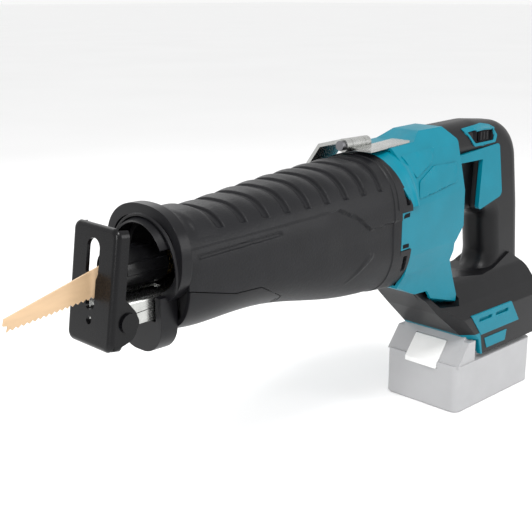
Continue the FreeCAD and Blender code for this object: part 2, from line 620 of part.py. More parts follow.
def housing_form(inset=0.0):
    """The motor housing's solid form: faceted sections lofted back from the seam, cut to the outline."""
    rear_w = HALF_W - 10.5
    seam = mirrored([
        (0, AXIS_Z + 62), (10, AXIS_Z + 56), (28, AXIS_Z + 40), (37, AXIS_Z + 26.5),
        (HALF_W, AXIS_Z + 9), (HALF_W, AXIS_Z - 29), (36, AXIS_Z - 44), (25, AXIS_Z - 57), (0, AXIS_Z - 70),
    ])
    rear = mirrored([
        (0, AXIS_Z + 66), (9, AXIS_Z + 64), (rear_w - 8, AXIS_Z + 47), (rear_w - 3.5, AXIS_Z + 26),
        (rear_w, AXIS_Z + 9), (rear_w, AXIS_Z - 29), (rear_w - 1, AXIS_Z - 45), (rear_w - 4, AXIS_Z - 84),
        (0, AXIS_Z - 95),
    ])
    wires = []
    for x, outline in ((SEAM_X, seam), (HOUSING_REAR_X, rear)):
        wire = rounded_wire([(Vector(x, p[0], p[1]), 0) for p in outline])
        wires.append(wire.makeOffset2D(-inset, 2) if inset else wire)
    loft = Part.makeLoft(wires, True, True)
    side = housing_outline(inset).extrude(Vector(0, 4 * HALF_W, 0))
    return loft.common(side)


def motor_housing():
    """The two teal shells, with the seam cut to the boot's tabs and ribs that hold the rear bearing."""
    room = housing_form(SHELL_WALL)
    room = room.fuse(room.translated(Vector(SHELL_WALL + 1, 0, 0)))
    shell = housing_form().cut(room)
    boot_zone = wide_box(TAB_X, SEAM_X + 1, 2 * HALF_W, 0, 2 * AXIS_Z).cut(notch_space(TAB_X - 1, -GAP))
    shell = shell.cut(boot_zone)
    rib_x = MOTOR_X[0] - 8
    rib = room.common(wide_box(rib_x - 1, rib_x + 2, 2 * HALF_W, MOTOR_Z - 20, MOTOR_Z + 20))
    shell = shell.fuse(rib.cut(cylinder_x(REAR_BEARING_R, 0, SEAM_X, MOTOR_Z)))
    for boss in housing_bosses(room):
        shell = shell.fuse(boss)
    return halves(shell.cut(housing_screw_holes()))


def finger_gap():
    """The opening between motor housing and grip, seen from the side."""
    rear = HOUSING_REAR_X
    return [
        (rear + 20, AXIS_Z + 27), (8.5, AXIS_Z + 27, 4), (11, AXIS_Z - 16, 3), (-8, AXIS_Z - 23, 8),
        (-14, FLOOR_Z + 2, 14), (4, FLOOR_Z, 10), (rear - 3, FLOOR_Z + 6, 8), (rear + 20, FLOOR_Z + 26),
    ]


def handle_loop_outline():
    rear = HOUSING_REAR_X
    return [
        (rear + 30, AXIS_Z + 57.5), (14, AXIS_Z + 59.5, 60), (-46, AXIS_Z + 54, 38),
        (-58, AXIS_Z - 16, 120), (-65, FLOOR_Z - 6, 30), (-65, BASE_TOP_Z - 16),
        (rear - 1, BASE_TOP_Z - 16), (rear + 49, FLOOR_Z + 4), (SEAM_X - 18, AXIS_Z - 56),
        (SEAM_X - 18, AXIS_Z - 20), (rear + 30, AXIS_Z - 20),
    ]


def foot_outline():
    """The foot over the battery pack, seen from the side, with the strut's sloping front."""
    rear = HOUSING_REAR_X
    skirt = PACK_BOX_H + 4.0
    return [
        (PACK_L / 2 - 32, skirt, 1), (PACK_L / 2 - 27.5, PACK_TOP - 2.5), (rear - 11, PACK_TOP - 2.5),
        (rear + 24, BASE_TOP_Z + 4.5, 5), (rear + 48, FLOOR_Z + 4),
        (rear - 3, FLOOR_Z + 6, 8), (4, FLOOR_Z, 10), (-14, FLOOR_Z + 2, 14),
        (-40, FLOOR_Z + 12), (-64, FLOOR_Z - 2, 10), (-66, BASE_TOP_Z - 8, 14), (-PACK_L / 2 - 5, skirt, 4),
    ]


def foot_section():
    """The foot seen from the front: a full-width skirt, sloping shoulders and a narrow crown."""
    return mirrored([
        (GRIP_HALF_W + 1, FLOOR_Z + 26), (GRIP_HALF_W + 3, FLOOR_Z, 8), (BASE_HALF_W - 6, BASE_TOP_Z + 8, 8),
        (BASE_HALF_W, BASE_TOP_Z - 3, 3), (BASE_HALF_W, PACK_BOX_H),
    ])


def foot_form():
    """The foot's outer form, with the strut's sides sloping in towards its front."""
    foot = side_prism(foot_outline(), -2 * HALF_W, 2 * HALF_W)
    foot = foot.common(front_prism(foot_section(), -2 * PACK_L, 2 * PACK_L))
    zone = box(0, 2 * SEAM_X, -2 * HALF_W, 2 * HALF_W, PACK_TOP - 3, AXIS_Z)
    for side in (-1, 1):
        corner = Vector(HOUSING_REAR_X + 54, side * 20, FLOOR_Z + 5)
        beyond = Part.makeCylinder(2 * SEAM_X, 2 * SEAM_X, corner, Vector(0.55, side * 0.61, -0.57))
        foot = foot.cut(beyond.common(zone))
    return foot


def handle():
    """Both black halves of the D handle and the foot, hollow for the switch, wires and controller."""
    loop = side_prism(handle_loop_outline(), -GRIP_HALF_W, GRIP_HALF_W)
    loop = loop.cut(side_prism(finger_gap(), -2 * HALF_W, 2 * HALF_W))
    edges = [e for e in loop.Edges if is_side_edge(e)]
    loop = loop.makeFillet(GRIP_ROUND, edges)
    solid = loop.fuse(foot_form())
    solid = solid.cut(housing_outline().extrude(Vector(0, 4 * HALF_W, 0)))
    solid = solid.cut(pack_room()).cut(foot_trim_region())
    solid = solid.cut(switch_room()).cut(foot_room()).cut(trigger_room(GAP))
    solid = solid.cut(panel_space()).cut(strip_space()).cut(button_room())
    for sign in (-1, 1):
        solid = solid.cut(vent_panel_form(sign, 0)).cut(badge_form(sign, 9))
    return halves(solid.cut(housing_screw_holes()))


def foot_trim():
    trim = foot_form().common(foot_trim_region()).cut(pack_room())
    return trim.cut(vent_panel_form(1, 0)).cut(vent_panel_form(-1, 0))


def housing_screw_places():
    """(x, z, depth of the head's seat from the middle plane) of the screws that join the two halves."""
    return [
        (HOUSING_REAR_X + 8, AXIS_Z + 50, 15),
        (SEAM_X - 34, AXIS_Z + 42, 21),
        (SEAM_X - 40, AXIS_Z - 52, 24),
        (-38, AXIS_Z + 42, 10),
        (-50, AXIS_Z - 50, 10),
        (-58, BASE_TOP_Z - 6, 24),
        (HOUSING_REAR_X + 14, BASE_TOP_Z + 10, 14),
    ]


def housing_screws():
    screws = []
    for x, z, y in housing_screw_places():
        screws.append(screw(Vector(x, -y, z), Vector(0, 1, 0), length=y + 6))
    return Part.Compound(screws)


def housing_screw_holes(fit=0.05):
    holes = []
    for x, z, y in housing_screw_places():
        hole = cylinder_y(1.9 + fit, -y - 1, 6 + fit, x, z)
        holes.append(hole.fuse(cylinder_y(3.4 + fit, -2 * HALF_W, -y, x, z)))
    return Part.Compound(holes)


def housing_bosses(room):
    bosses = []
    for x, z, y in housing_screw_places()[:3]:
        bosses.append(cylinder_y(5.0, -y - 6, y + 6, x, z).common(room))
    return bosses


def is_side_edge(edge):
    """True for an edge of the handle loop that lies in a side face and is free to be rounded."""
    middle = edge.valueAt((edge.FirstParameter + edge.LastParameter) / 2)
    at_side = all(abs(abs(v.Y) - GRIP_HALF_W) < 1e-6 for v in edge.Vertexes)
    limit_x = HOUSING_REAR_X - 0.5
    ends_x = max(v.X for v in edge.Vertexes)
    return at_side and middle.x < limit_x and middle.z > BASE_TOP_Z and ends_x < limit_x + 90


def pack_room():
    """The slide-in channel for the pack's rail block, open in front and below."""
    half = PACK_W / 2 - 6.5 + GAP
    upper = wide_box(-PACK_L / 2 + 4 - GAP, 2 * PACK_L, half, 0, PACK_TOP + GAP)
    rails = wide_box(-PACK_L / 2 - 20, 2 * PACK_L, PACK_W / 2 - 4, 0, PACK_BOX_H + 6)
    lower = box(-PACK_L, 2 * PACK_L, -HALF_W * 2, HALF_W * 2, 0, PACK_BOX_H + GAP)
    return upper.fuse(rails).fuse(lower)


def switch_room():
    half = TRIGGER_W / 2 + 2.5
    top = wide_box(-46, -6, half, AXIS_Z - 14, AXIS_Z + 24)
    upper, lower = AXIS_Z - 12, FLOOR_Z - 12
    wires = side_prism([(-42, upper), (-24, upper), (-30, lower), (-50, lower)], -9, 9)
    arm = wide_box(-20, HOUSING_REAR_X + 10, 9, AXIS_Z + 45, AXIS_Z + 53)
    riser = wide_box(-40, -10, 9, AXIS_Z + 20, AXIS_Z + 50)
    return top.fuse(wires).fuse(arm).fuse(riser)


def foot_room():
    room = wide_box(-52, HOUSING_REAR_X - 14, BASE_HALF_W - 11, PACK_TOP + 4, BASE_TOP_Z + 7)
    return room.fuse(terminal_form(GAP))


def trigger_room(clearance):
    half = TRIGGER_W / 2 + clearance
    return wide_box(-30, 14, half, AXIS_Z - 15 - clearance, AXIS_Z + 26 + clearance)


def trigger():
    """A sprung pull trigger with a hollow for the finger."""
    top, bottom = AXIS_Z + 26, AXIS_Z - 15
    body = side_prism([
        (-18, top), (25, top, 4), (21, AXIS_Z + 8, 30), (18, bottom + 6, 14), (17, bottom, 2), (-18, bottom),
    ], -TRIGGER_W / 2, TRIGGER_W / 2)
    return body


PANEL = [(44, 33.5), (44, 27.2), (8.5, 27.2), (11.2, -15.6, 3), (-24, -7, 5), (-15.5, 38.5, 4)]


def panel_form(y0, y1):
    """The teal panel at the trigger and its band under the upper arm, from points above the axis."""
    points = [(p[0], AXIS_Z + p[1]) + tuple(p[2:]) for p in PANEL]
    return side_prism(points, y0, y1)


def panel_space():
    inner, outer = GRIP_HALF_W - 3.0, 2 * HALF_W
    return panel_form(inner, outer).fuse(panel_form(-outer, -inner))


def trigger_panels():
    inner, outer = GRIP_HALF_W - 3.0, GRIP_HALF_W + 0.8
    return panel_form(inner, outer), panel_form(-outer, -inner)


def strip_space():
    """The room of the strip let into the back of the grip."""
    points = [(-49, 10), (-80, 10), (-80, -68), (-57, -68)]
    return side_prism([(x, AXIS_Z + z) for x, z in points], -9, 9)


def grip_strip():
    limit = side_prism(handle_loop_outline(), -9, 9)
    return strip_space().common(limit)


def button_room():
    """The crosswise hole of the lock-off button, with a shallow dish at each side."""
    hole = box(BUTTON_X[0] - GAP, BUTTON_X[1] + GAP, -99, 99, BUTTON_Z[0] - GAP, BUTTON_Z[1] + GAP)
    for side in (-1, 1):
        y0, y1 = sorted((side * (GRIP_HALF_W - 3.5), side * 99))
        hole = hole.fuse(box(BUTTON_X[0] - 6, BUTTON_X[1] + 6, y0, y1, BUTTON_Z[0] - 3, BUTTON_Z[1] + 3))
    return hole


def lock_off_button():
    body = wide_box(BUTTON_X[0], BUTTON_X[1], GRIP_HALF_W - 0.5, *BUTTON_Z)
    for i in range(3):
        x = BUTTON_X[0] + 3.2 + 4.4 * i
        for side in (-1, 1):
            y0, y1 = sorted((side * (GRIP_HALF_W - 0.5), side * (GRIP_HALF_W + 0.6)))
            body = body.fuse(box(x, x + 1.8, y0, y1, BUTTON_Z[0] + 0.6, BUTTON_Z[1] - 0.6))
    return body


def lock_frames():
    frames = []
    for side in (1, -1):
        y0, y1 = sorted((side * (GRIP_HALF_W - 3.5), side * (GRIP_HALF_W + 0.3)))
        outer = box(BUTTON_X[0] - 6, BUTTON_X[1] + 6, y0, y1, BUTTON_Z[0] - 3, BUTTON_Z[1] + 3)
        z0, z1 = BUTTON_Z[0] - GAP, BUTTON_Z[1] + GAP
        inner = box(BUTTON_X[0] - 3.5, BUTTON_X[1] + 3.5, y0 - 1, y1 + 1, z0, z1)
        frames.append(outer.cut(inner))
    return frames


def vent_panel_form(side, proud):
    """A slotted teal panel on the foot's side."""
    y0, y1 = sorted((side * (BASE_HALF_W - 4.0), side * (BASE_HALF_W + proud + (0 if proud else 20))))
    rear = -PACK_L / 2 + 24
    points = [
        (rear, PACK_TOP + 0.5), (rear + 14, BASE_TOP_Z - 1.5),
        (HOUSING_REAR_X - 7, BASE_TOP_Z - 1.5), (HOUSING_REAR_X - 23, PACK_TOP + 0.5),
    ]
    return side_prism(points, y0, y1)


def vent_panels():
    panels = []
    for side in (1, -1):
        panel = vent_panel_form(side, 0.6)
        for i in range(2):
            x0 = -14 + 25 * i
            y0, y1 = sorted((side * (BASE_HALF_W - 1.5), side * 99))
            panel = panel.cut(box(x0, x0 + 19, y0, y1, BASE_TOP_Z - 9, BASE_TOP_Z - 6))
        panels.append(panel)
    return panels


def switch_unit():
    body = wide_box(-44, -31, 9.0, AXIS_Z - 10, AXIS_Z + 22)
    return body.fuse(cylinder_x(3.0, -31, -27.5, AXIS_Z + 6))


def controller():
    return wide_box(-48, 30, 23, PACK_TOP + 8, PACK_TOP + 19)


def terminal_form(clearance):
    rear = -PACK_L / 2 + 8
    low = PACK_TOP + GAP - (2 if clearance else 0)
    return wide_box(rear - clearance, rear + 18 + clearance, 24 + clearance, low, PACK_TOP + 7.5 + clearance)


def terminal_block():
    """The foot's contact block, held over the slots in the top of the pack."""
    return terminal_form(0)


def foot_trim_region():
    """A thin band along the foot's lower front edge."""
    skirt, x0, x1 = PACK_BOX_H + 4.0, PACK_L / 2 - 32, PACK_L / 2 - 27.5
    return side_prism([
        (x0 - 2.6, skirt - 1), (x1 - 3.0, PACK_TOP - 0.5), (x1 - 2.0, PACK_TOP + 2.6),
        (x1 + 40, PACK_TOP + 2.6), (x1 + 40, PACK_TOP - 8), (x0 + 4, skirt - 1),
    ], -2 * HALF_W, 2 * HALF_W)


def badge_form(side, proud):
    """A small plain plate on the foot's skirt."""
    y0, y1 = sorted((side * (BASE_HALF_W - 1.2), side * (BASE_HALF_W + proud)))
    x1 = PACK_L / 2 - 36
    top, bottom = PACK_TOP - 3.5, PACK_TOP - 13
    return side_prism([(x1, top), (x1 - 34, top), (x1 - 32, bottom), (x1 - 4, bottom)], y0, y1)


def foot_badges():
    return Part.Compound([badge_form(side, 0.5) for side in (1, -1)])


# ---- battery pack -----------------------------------------------------------------------
def pack_block(inset, z0, z1):
    half_l, half_w = PACK_L / 2 - inset, PACK_W / 2 - inset
    corners = [(half_l, half_w), (half_l, -half_w), (-half_l, -half_w), (-half_l, half_w)]
    return top_prism([(x, y, 7 - inset) for x, y in corners], z0, z1)


def pack_form(inset):
    """The whole outside of the pack: a box with a raised rail block that slopes down in front."""
    body = pack_block(inset, inset, PACK_BOX_H - inset)
    half = PACK_W / 2 - 6.5 - inset
    front = PACK_L / 2
    crown = side_prism([
        (-front + 4 + inset, PACK_BOX_H - inset - 1), (-front + 4 + inset, PACK_TOP - inset),
        (front - 18 - inset, PACK_TOP - inset), (front - 1 - inset, PACK_BOX_H - inset - 1),
    ], -half, half)
    shoulders = side_prism([
        (front - 25, PACK_BOX_H - 1),
        (front - 25, PACK_TOP - 3.5 - inset),
        (front - 15.5 - inset, PACK_TOP - 3.5 - inset),
        (front - 1 - inset, PACK_BOX_H - 1 - inset),
    ], -PACK_W / 2 + inset + 1, PACK_W / 2 - inset - 1)
    return body.fuse(crown).fuse(shoulders)


def pack_cases():
    split = PACK_BOX_H * 0.62
    outside = pack_form(0)
    bottom_edges = [e for e in outside.Edges if all(abs(v.Z) < 1e-6 for v in e.Vertexes)]
    shell = outside.makeChamfer(1.2, bottom_edges).cut(pack_form(PACK_WALL))
    shell = shell.cut(latch_room()).cut(pack_screw_holes())
    lower = shell.common(wide_box(-PACK_L, PACK_L, PACK_W, -1, split))
    upper = shell.common(wide_box(-PACK_L, PACK_L, PACK_W, split, PACK_TOP + 1))
    return lower, upper


def latch_outline(grow=0.0):
    front = PACK_L / 2
    return [
        (front - 19.5 - grow, PACK_TOP - 5.5 + grow), (front - 13.0 + grow, PACK_TOP - 5.5 + grow),
        (front + 1.5 + grow, PACK_BOX_H - 2), (front + 1.5 + grow, PACK_BOX_H - 6 - grow),
        (front - 8 - grow, PACK_BOX_H - 6 - grow),
    ]


def latch_room():
    return side_prism(latch_outline(GAP), -LATCH_HALF - GAP, LATCH_HALF + GAP)


def release_button():
    return side_prism(latch_outline(), -LATCH_HALF, LATCH_HALF)


def cells():
    group = []
    pitch = CELL_D + 0.4
    for layer in range(2):
        z = PACK_WALL + GAP + CELL_D * (layer + 0.5)
        for i in range(5):
            group.append(cylinder_y(CELL_D / 2, -CELL_L / 2, CELL_L / 2, (i - 2) * pitch - CELL_SHIFT, z))
    return Part.Compound(group)


def pack_board():
    return wide_box(-PACK_L / 2 + 8, PACK_L / 2 - 24, PACK_W / 2 - 12, PACK_BOX_H + 5, PACK_BOX_H + 6.6)


def pack_screw_places():
    x, y = PACK_L / 2 - 9, PACK_W / 2 - 3.6
    return [Vector(i * x, j * y, 2.0) for i in (-1, 1) for j in (-1, 1)]


def pack_screws():
    return Part.Compound([screw(p, Vector(0, 0, 1), 1.1, 2.3, 9, 1.4) for p in pack_screw_places()])


def pack_screw_holes():
    holes = []
    for p in pack_screw_places():
        holes.append(cylinder_z(2.35, -1, p.z, p.x, p.y).fuse(cylinder_z(1.15, 0, 12, p.x, p.y)))
    return Part.Compound(holes)


def cell_straps():
    """The nickel straps that join the cells' ends, one at each side of each layer."""
    straps = []
    pitch = CELL_D + 0.4
    for layer in range(2):
        z = PACK_WALL + GAP + CELL_D * (layer + 0.5)
        for side in (-1, 1):
            y0, y1 = sorted((side * (CELL_L / 2 + 0.02), side * (CELL_L / 2 + 0.4)))
            x0, x1 = -2 * pitch - CELL_SHIFT - 2, 2 * pitch - CELL_SHIFT + 2
            straps.append(box(x0, x1, y0, y1, z - 3.5, z + 3.5))
    return Part.Compound(straps)


# ---- hook -------------------------------------------------------------------------------
def hook_plate():
    """The steel plate on top of the motor housing, its edge rolled round the hook's pin."""
    front, rear, low = SEAM_X + 9.0, SEAM_X - 36.0, AXIS_Z + TOP_H
    points = [
        (front, low - 0.5), (front, low + 1.3), (SEAM_X, low + 1.8),
        (rear, low + 4.1), (rear, low + 2.3), (SEAM_X, low),
    ]
    plate = side_prism(points, HOOK_Y + HOOK_R - 1, 17)
    for x0 in (rear - 1, front + 1):
        plate = plate.cut(box(x0 - 0.5, x0 + 0.5, -20, 20, low - 5, low + 9))
    roll_x = (HOOK_X[0] + HOOK_LOOP + GAP, front)
    clear = cylinder_x(HOOK_R + GAP, 0, roll_x[0], HOOK_Z, HOOK_Y)
    plate = plate.cut(clear)
    roll = cylinder_x(HOOK_R, *roll_x, HOOK_Z, HOOK_Y)
    return plate.fuse(roll).cut(cylinder_x(HOOK_PIN_R, 0, NOSE_X, HOOK_Z, HOOK_Y))


def belt_hook():
    """A strap hook that turns on a pin along the tool, folded down over the right side."""
    x0, x1 = HOOK_X
    y, z, r = HOOK_Y, HOOK_Z, HOOK_R
    strap = front_prism([
        (y, z + r), (y, z + r - 2.6), (y - 22.5, z - 3.6), (y - 33.5, z - 18), (y - 39, z - 40),
        (y - 47, z - 41.5), (y - 47.6, z - 39), (y - 41, z - 37.6), (y - 35.8, z - 16.6), (y - 24, z - 1.2),
    ], x0, x1)
    middle = box(x0 + HOOK_LOOP, x1 - HOOK_LOOP, y - r - 2, y + r, z - 9, z + 9)
    loops = cylinder_x(r, x0, x1, z, y)
    hook = strap.cut(cylinder_x(r - 1, x0 - 1, x1 + 1, z, y)).fuse(loops).cut(middle)
    return hook.cut(cylinder_x(HOOK_PIN_R + RUN_FIT, x0 - 1, x1 + 1, z, y))


def hook_pin():
    x0, x1 = HOOK_X
    pin = cylinder_x(HOOK_PIN_R, x0 - 1, x1 + GAP, HOOK_Z, HOOK_Y)
    return pin.fuse(cylinder_x(HOOK_PIN_R + 1.6, x1 + GAP, x1 + 3.5, HOOK_Z, HOOK_Y))


def export(name, shape):
    """Writes one node, as a single solid or as a compound of separate solids."""
    solids = shape.Solids
    if len(solids) == 1:
        shape = solids[0]
    bounds = shape.BoundBox
    size = f"{bounds.XLength:7.1f} {bounds.YLength:6.1f} {bounds.ZLength:6.1f}"
    print(f"{name:24s} solids {len(solids):2d} valid {shape.isValid()} size {size}")
    shape.exportStep(f"parts/{name}.step")


def main():
    os.makedirs("parts", exist_ok=True)
    export("rubber_boot", rubber_boot())
    export("lower_cover", lower_cover())
    upper, lower = gear_case()
    export("gear_case_upper", upper)
    export("gear_case_lower", lower)
    export("plunger_bushes", plunger_bushes())
    export("dust_seal", dust_seal())
    export("work_lamp", work_lamp())
    export("gear_case_screws", gear_case_screws())
    export("shoe_release_button", shoe_release_button())
    export("motor_bearings", motor_bearings())
    export("crank_bearing", crank_bearing())
    export("nose_guard", nose_guard())
    export("shoe_support", shoe_support())
    export("shoe", shoe())
    export("shoe_pivot_pins", shoe_pivot_pins())
    export("plunger_rod", plunger_rod())
    export("clamp_pin", clamp_pin())
    export("yoke", yoke())
    export("blade", blade())
    export("clamp_sleeve", clamp_sleeve())
    export("crank_gear", crank_gear())
    export("crank_pin", crank_pin())
    export("counterweight", counterweight())
    export("rotor_shaft", rotor_shaft())
    export("pinion", pinion())
    export("rotor_core", rotor_core())
    export("stator", stator())
    export("stator_coils", stator_coils())
    export("cooling_fan", cooling_fan())
    left, right = motor_housing()
    export("motor_housing_left", left)
    export("motor_housing_right", right)
    left, right = handle()
    export("handle_left", left)
    export("handle_right", right)
    left, right = trigger_panels()
    export("trigger_panel_left", left)
    export("trigger_panel_right", right)
    export("grip_strip", grip_strip())
    export("trigger", trigger())
    export("lock_off_button", lock_off_button())
    left, right = lock_frames()
    export("lock_frame_left", left)
    export("lock_frame_right", right)
    left, right = vent_panels()
    export("vent_panel_left", left)
    export("vent_panel_right", right)
    export("foot_trim", foot_trim())
    export("foot_badges", foot_badges())
    export("housing_screws", housing_screws())
    export("switch_unit", switch_unit())
    export("controller", controller())
    export("terminal_block", terminal_block())
    lower, upper = pack_cases()
    export("pack_case_lower", lower)
    export("pack_case_upper", upper)
    export("release_button", release_button())
    export("cells", cells())
    export("cell_straps", cell_straps())
    export("pack_board", pack_board())
    export("pack_screws", pack_screws())
    export("hook_plate", hook_plate())
    export("belt_hook", belt_hook())
    export("hook_pin", hook_pin())


main()
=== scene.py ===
import bpy
import bmesh
import json
import math
import numpy as np
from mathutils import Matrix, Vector
from mathutils.bvhtree import BVHTree
from mathutils.geometry import delaunay_2d_cdt


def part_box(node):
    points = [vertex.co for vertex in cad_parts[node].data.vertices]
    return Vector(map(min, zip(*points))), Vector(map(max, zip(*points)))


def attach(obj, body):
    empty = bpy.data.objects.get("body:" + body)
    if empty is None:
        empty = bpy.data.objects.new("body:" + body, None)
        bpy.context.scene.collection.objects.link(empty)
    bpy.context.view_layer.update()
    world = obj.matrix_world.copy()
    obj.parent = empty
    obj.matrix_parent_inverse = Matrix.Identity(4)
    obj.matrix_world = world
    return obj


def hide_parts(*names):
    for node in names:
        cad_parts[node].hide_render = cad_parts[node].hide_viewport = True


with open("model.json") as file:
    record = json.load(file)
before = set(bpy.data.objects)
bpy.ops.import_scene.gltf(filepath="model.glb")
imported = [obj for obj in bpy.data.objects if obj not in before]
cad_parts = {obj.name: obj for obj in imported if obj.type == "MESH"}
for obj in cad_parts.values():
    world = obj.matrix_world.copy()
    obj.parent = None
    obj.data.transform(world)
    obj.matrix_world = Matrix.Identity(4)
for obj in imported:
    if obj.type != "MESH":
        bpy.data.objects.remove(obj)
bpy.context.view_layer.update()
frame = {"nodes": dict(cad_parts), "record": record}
NODES = frame["nodes"]
MM = 0.001

# ---- camera ---------------------------------------------------------------------------------
TARGET = Vector((0.24105, 0.0, 0.1568))
AZIMUTH, ELEVATION = math.radians(135.4), math.radians(15.5)
DISTANCE = 0.67394
LENS = 66.3

camera_data = bpy.data.cameras.new("camera")
camera_data.lens = LENS
camera_data.sensor_width = 36.0
camera_data.clip_start = 0.01
camera = bpy.data.objects.new("camera", camera_data)
bpy.context.collection.objects.link(camera)
BACK = Vector((
    math.sin(AZIMUTH) * math.cos(ELEVATION),
    -math.cos(AZIMUTH) * math.cos(ELEVATION),
    math.sin(ELEVATION),
))
camera.location = TARGET + BACK * DISTANCE
camera.rotation_mode = "QUATERNION"
camera.rotation_quaternion = (-BACK).to_track_quat("-Z", "Y")
bpy.context.scene.camera = camera


# ---- materials ------------------------------------------------------------------------------
GRAIN_DEPTH = 0.0003  # metres, of the fine bump on every surface
LEAST_ROUGHNESS = 0.04


def finish_material(
    name, colour, roughness, metallic=0.0, vary=0.06, patch=0.02, grain=0.0006, bump=0.12,
    rough_vary=0.08, specular=0.5, stretch=(1, 1, 1),
):
    """A moulded or metal surface: patchy colour, uneven gloss and a fine grain, all from noise."""
    m = bpy.data.materials.new(name)
    m.use_nodes = True
    nodes, links = m.node_tree.nodes, m.node_tree.links
    shader = nodes["Principled BSDF"]
    place = nodes.new("ShaderNodeTexCoord")
    scale = nodes.new("ShaderNodeMapping")
    scale.inputs["Scale"].default_value = stretch
    links.new(place.outputs["Object"], scale.inputs["Vector"])

    def noise(size, detail):
        n = nodes.new("ShaderNodeTexNoise")
        n.inputs["Scale"].default_value = 1 / size
        n.inputs["Detail"].default_value = detail
        links.new(scale.outputs["Vector"], n.inputs["Vector"])
        return n

    broad = noise(patch, 3)
    fine = noise(grain, 2)
    ramp = nodes.new("ShaderNodeValToRGB")
    ramp.color_ramp.elements[0].position = 0.3
    ramp.color_ramp.elements[1].position = 0.7
    ramp.color_ramp.elements[0].color = (*[c * (1 - vary) for c in colour], 1)
    ramp.color_ramp.elements[1].color = (*[min(1, c * (1 + vary)) for c in colour], 1)
    links.new(broad.outputs["Fac"], ramp.inputs["Fac"])
    links.new(ramp.outputs["Color"], shader.inputs["Base Color"])
    gloss = nodes.new("ShaderNodeMapRange")
    gloss.inputs["To Min"].default_value = max(LEAST_ROUGHNESS, roughness - rough_vary)
    gloss.inputs["To Max"].default_value = min(1, roughness + rough_vary)
    links.new(fine.outputs["Fac"], gloss.inputs["Value"])
    links.new(gloss.outputs["Result"], shader.inputs["Roughness"])
    relief = nodes.new("ShaderNodeBump")
    relief.inputs["Strength"].default_value = bump
    relief.inputs["Distance"].default_value = GRAIN_DEPTH
    links.new(fine.outputs["Fac"], relief.inputs["Height"])
    links.new(relief.outputs["Normal"], shader.inputs["Normal"])
    shader.inputs["Metallic"].default_value = metallic
    shader.inputs["Specular IOR Level"].default_value = specular
    return m


TEAL = finish_material("teal_moulding", (0.0, 0.152, 0.212), 0.38, vary=0.05, bump=0.04, grain=0.0005,
                       specular=0.16)
BOOT = finish_material("boot_rubber", (0.0062, 0.0063, 0.0075), 0.42, vary=0.15, bump=0.5, grain=0.0013,
                       specular=0.2)
GRIP = finish_material("grip_black", (0.0045, 0.0045, 0.0052), 0.38, vary=0.15, bump=0.12, specular=0.2)
SATIN = finish_material("satin_black", (0.0045, 0.0045, 0.0055), 0.34, vary=0.12, bump=0.08, specular=0.2)
PAINT = finish_material("shoe_paint", (0.002, 0.002, 0.0025), 0.26, vary=0.1, bump=0.03, specular=0.2)
SLEEVE = finish_material("black_oxide", (0.003, 0.003, 0.0035), 0.3, vary=0.2, bump=0.05, specular=0.3)
ROD = finish_material("rod_steel", (0.05, 0.05, 0.055), 0.22, metallic=0.9, bump=0.02)
STEEL = finish_material("steel", (0.24, 0.245, 0.255), 0.32, metallic=1.0, bump=0.05)
ZINC = finish_material("zinc", (0.45, 0.455, 0.44), 0.26, metallic=1.0, vary=0.1, patch=0.008, bump=0.08)
SCREW = finish_material("screw_steel", (0.2, 0.2, 0.21), 0.35, metallic=1.0, bump=0.05)
# The alloy's near-black colour is painted shade for the gear case seen deep inside the nose ring.
ALLOY = finish_material("cast_alloy", (0.012, 0.012, 0.013), 0.45, metallic=0.3, bump=0.4, grain=0.001)
BRONZE = finish_material("bronze", (0.55, 0.40, 0.17), 0.28, metallic=1.0, bump=0.03)
TAN = finish_material("blade_coat", (0.50, 0.345, 0.205), 0.42, metallic=0.1, vary=0.08, patch=0.01,
                      bump=0.08, stretch=(0.3, 1, 1.6))
LAMP = finish_material("lamp_lens", (0.8, 0.82, 0.85), 0.1, bump=0.01)
PACK = finish_material("pack_moulding", (0.355, 0.355, 0.362), 0.45, vary=0.03, bump=0.08, specular=0.35)
WHITE = finish_material("button_white", (0.74, 0.74, 0.73), 0.45, vary=0.03, bump=0.06)
GREY = finish_material("grey_moulding", (0.16, 0.16, 0.17), 0.5, bump=0.1)
COPPER = finish_material("copper", (0.55, 0.24, 0.1), 0.35, metallic=0.9, bump=0.3)
IRON = finish_material("lamination", (0.22, 0.22, 0.23), 0.45, metallic=0.8, bump=0.2, stretch=(6, 1, 1))
CELL = finish_material("cell_sleeve", (0.08, 0.32, 0.22), 0.4, bump=0.03)
BOARD = finish_material("circuit_board", (0.02, 0.16, 0.07), 0.3, bump=0.1)
# Near black and dull, laid as thin sheets into slots and recesses: painted shade.
SLOT_SHADE = finish_material("painted_slot_shade", (0.004, 0.004, 0.005), 0.7, bump=0.05, specular=0.1)

SLOT_MATERIALS = {
    "boot_rubber": BOOT, "black_plastic": SATIN, "cast_alloy": ALLOY, "bronze": BRONZE,
    "seal_rubber": GRIP, "lamp_lens": LAMP, "screw_steel": SCREW, "steel": STEEL, "plated_steel": ZINC,
    "black_steel": PAINT, "rod_steel": ROD, "blade_tan": TAN, "black_sleeve": SLEEVE,
    "lamination": IRON, "copper": COPPER, "grey_plastic": GREY, "teal_plastic": TEAL,
    "grip_black": GRIP, "pack_grey": PACK, "pack_white": WHITE, "cell_green": CELL,
    "board_green": BOARD,
}


# ---- edges of the carried-over parts --------------------------------------------------------
SHARP_ANGLE = 35  # degrees between two faces, above which their edge is shaded sharp
WELD_DISTANCE = 2e-6


